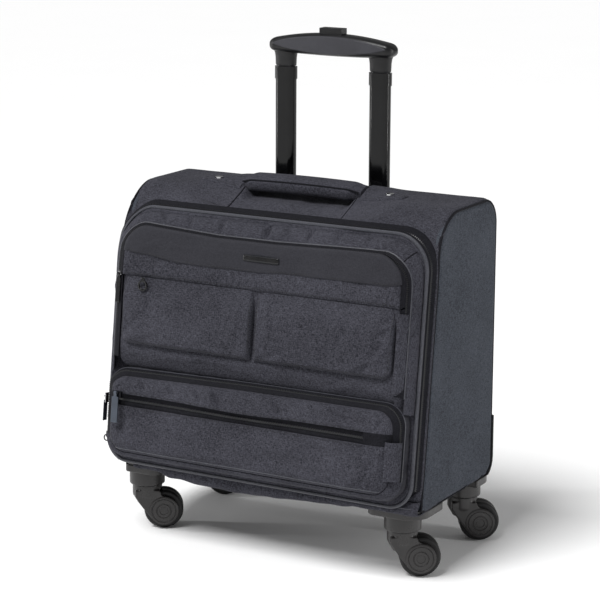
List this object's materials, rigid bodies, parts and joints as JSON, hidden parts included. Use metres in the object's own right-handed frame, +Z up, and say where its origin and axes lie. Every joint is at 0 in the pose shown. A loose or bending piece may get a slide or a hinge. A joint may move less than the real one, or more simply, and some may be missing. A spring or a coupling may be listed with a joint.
{
  "type": "rolling laptop case",
  "caption": "Soft-sided rolling laptop case on swivel casters, with a telescopic pull handle, a carry handle, a zipped organizer front and a zipped lower pocket.",
  "frame": {"origin": "on the floor, midway between the four caster swivel axes", "axes": "+X to the right seen from the front, -Y out of the zipped front, +Z up along the pull handle's tubes"},
  "size_m": [0.4413, 0.2648, 0.6105],
  "materials": {
    "main_fabric": "heathered charcoal polyester, matt",
    "side_fabric": "heathered charcoal polyester, matt, slightly bluer",
    "lining": "plain dark lining over foam",
    "board": "black polyethylene sheet",
    "shell_plastic": "black moulded plastic, fine satin grain",
    "caster_plastic": "black nylon, satin",
    "tyre_rubber": "black rubber, satin",
    "wide_tube": "gloss black lacquer on aluminium",
    "narrow_tube": "dark grey satin anodised",
    "grip_black": "black satin plastic",
    "grip_grey": "grey textured soft insert",
    "steel": "polished chrome",
    "rod_steel": "plain steel",
    "zip_metal": "gunmetal lacquer"
  },
  "bodies": {
    "case": {"side_panel_left": "side_fabric", "side_panel_right": "side_fabric", "top_panel_left": "main_fabric", "top_panel_middle": "main_fabric", "top_panel_right": "main_fabric", "back_panel": "main_fabric", "bottom_tray": "board", "front_rim": "main_fabric", "back_board": "board", "guide_tubes": "shell_plastic", "handle_bezel": "shell_plastic", "carry_handle": "main_fabric", "handle_rivets": "steel", "corner_guards": "shell_plastic", "laptop_sleeve": "lining", "front_left_housing": "caster_plastic", "front_right_housing": "caster_plastic", "rear_left_housing": "caster_plastic", "rear_right_housing": "caster_plastic"},
    "wide_stage": {"wide_tubes": "wide_tube", "wide_tube_fittings": "shell_plastic"},
    "narrow_stage": {"narrow_tubes": "narrow_tube", "narrow_lock_blocks": "shell_plastic", "grip_shell": "grip_black", "grip_insert": "grip_grey", "button_spring": "rod_steel"},
    "grip_release": {"grip_button": "shell_plastic", "release_rods": "rod_steel"},
    "front_flap": {"front_panel": "main_fabric", "organizer_pouch": "main_fabric", "pleated_pocket_left": "main_fabric", "pleated_pocket_right": "main_fabric", "lower_pocket": "main_fabric"},
    "organizer_flap": {"organizer_cover": "main_fabric"},
    "pocket_flap": {"pocket_lid": "main_fabric"},
    "organizer_slider": {"organizer_zip_slider": "zip_metal"},
    "organizer_puller": {"organizer_zip_puller": "zip_metal"},
    "lower_slider": {"lower_zip_slider": "zip_metal"},
    "lower_puller": {"lower_zip_puller": "zip_metal"},
    "slip_slider": {"slip_zip_slider": "zip_metal"},
    "slip_puller": {"slip_zip_puller": "zip_metal"},
    "main_slider": {"main_zip_pull": "zip_metal"},
    "flap_ring": {"flap_ring_pull": "zip_metal"},
    "front_left_caster": {"front_left_fork": "caster_plastic", "front_left_pins": "rod_steel"},
    "front_left_wheel": {"front_left_hub": "caster_plastic", "front_left_tyre": "tyre_rubber"},
    "front_right_caster": {"front_right_fork": "caster_plastic", "front_right_pins": "rod_steel"},
    "front_right_wheel": {"front_right_hub": "caster_plastic", "front_right_tyre": "tyre_rubber"},
    "rear_left_caster": {"rear_left_fork": "caster_plastic", "rear_left_pins": "rod_steel"},
    "rear_left_wheel": {"rear_left_hub": "caster_plastic", "rear_left_tyre": "tyre_rubber"},
    "rear_right_caster": {"rear_right_fork": "caster_plastic", "rear_right_pins": "rod_steel"},
    "rear_right_wheel": {"rear_right_hub": "caster_plastic", "rear_right_tyre": "tyre_rubber"}
  },
  "joints": [
    {"name": "wide_tubes_slide", "type": "slide", "parent": "case", "child": "wide_stage", "axis": [0, 0, 1], "range_m": [-0.118, 0.115]},
    {"name": "narrow_tubes_slide", "type": "slide", "parent": "wide_stage", "child": "narrow_stage", "axis": [0, 0, 1], "range_m": [0, 0.215]},
    {"name": "grip_button_press", "type": "slide", "parent": "narrow_stage", "child": "grip_release", "axis": [0, 0, -1], "range_m": [0, 0.004], "stiffness_N_per_m": 500, "springref_m": -0.006, "deforming": ["button_spring"]},
    {"name": "front_panel_hinge", "type": "hinge", "parent": "case", "child": "front_flap", "pos_m": [0, -0.112, 0.09], "axis": [1, 0, 0], "range_deg": [0, 90]},
    {"name": "organizer_cover_hinge", "type": "hinge", "parent": "front_flap", "child": "organizer_flap", "pos_m": [0, -0.11228, 0.32393], "axis": [1, 0, 0], "range_deg": [0, 70]},
    {"name": "pocket_lid_hinge", "type": "hinge", "parent": "front_flap", "child": "pocket_flap", "pos_m": [0, -0.14705, 0.14692], "axis": [1, 0, 0], "range_deg": [0, 65]},
    {"name": "organizer_zip_run", "type": "slide", "parent": "front_flap", "child": "organizer_slider", "axis": [0, 0.1271, 0.9919], "range_m": [-0.043, 0.017]},
    {"name": "organizer_zip_puller_swing", "type": "hinge", "parent": "organizer_slider", "child": "organizer_puller", "pos_m": [-0.1908, -0.10973, 0.3226], "axis": [-1, 0, 0], "range_deg": [0, 100]},
    {"name": "lower_zip_run", "type": "slide", "parent": "front_flap", "child": "lower_slider", "axis": [0, 0.1271, 0.9919], "range_m": [-0.014, 0.012]},
    {"name": "lower_zip_puller_swing", "type": "hinge", "parent": "lower_slider", "child": "lower_puller", "pos_m": [-0.2053, -0.12638, 0.17451], "axis": [0, 0.9919, -0.1271], "range_deg": [0, 100]},
    {"name": "slip_zip_run", "type": "slide", "parent": "pocket_flap", "child": "slip_slider", "axis": [1, 0, 0], "range_m": [0, 0.33]},
    {"name": "slip_zip_puller_swing", "type": "hinge", "parent": "slip_slider", "child": "slip_puller", "pos_m": [-0.172, -0.14822, 0.18739], "axis": [-1, 0, 0], "range_deg": [0, 100]},
    {"name": "main_zip_run", "type": "slide", "parent": "case", "child": "main_slider", "axis": [0, 0.1271, 0.9919], "range_m": [0, 0.22]},
    {"name": "flap_ring_swing", "type": "hinge", "parent": "front_flap", "child": "flap_ring", "pos_m": [-0.152, -0.1165, 0.32246], "axis": [-1, 0, 0], "range_deg": [0, 90]},
    {"name": "front_left_swivel", "type": "hinge", "parent": "case", "child": "front_left_caster", "pos_m": [-0.176, -0.076, 0.05], "axis": [0, 0, 1], "continuous": true},
    {"name": "front_left_roll", "type": "hinge", "parent": "front_left_caster", "child": "front_left_wheel", "pos_m": [-0.15923, -0.06511, 0.024], "axis": [-0.5446, 0.8387, 0], "continuous": true},
    {"name": "front_right_swivel", "type": "hinge", "parent": "case", "child": "front_right_caster", "pos_m": [0.176, -0.076, 0.05], "axis": [0, 0, 1], "continuous": true},
    {"name": "front_right_roll", "type": "hinge", "parent": "front_right_caster", "child": "front_right_wheel", "pos_m": [0.19277, -0.06511, 0.024], "axis": [-0.5446, 0.8387, 0], "continuous": true},
    {"name": "rear_left_swivel", "type": "hinge", "parent": "case", "child": "rear_left_caster", "pos_m": [-0.18, 0.076, 0.05], "axis": [0, 0, 1], "continuous": true},
    {"name": "rear_left_roll", "type": "hinge", "parent": "rear_left_caster", "child": "rear_left_wheel", "pos_m": [-0.16323, 0.08689, 0.024], "axis": [-0.5446, 0.8387, 0], "continuous": true},
    {"name": "rear_right_swivel", "type": "hinge", "parent": "case", "child": "rear_right_caster", "pos_m": [0.18, 0.076, 0.05], "axis": [0, 0, 1], "continuous": true},
    {"name": "rear_right_roll", "type": "hinge", "parent": "rear_right_caster", "child": "rear_right_wheel", "pos_m": [0.19677, 0.08689, 0.024], "axis": [-0.5446, 0.8387, 0], "continuous": true}
  ]
}
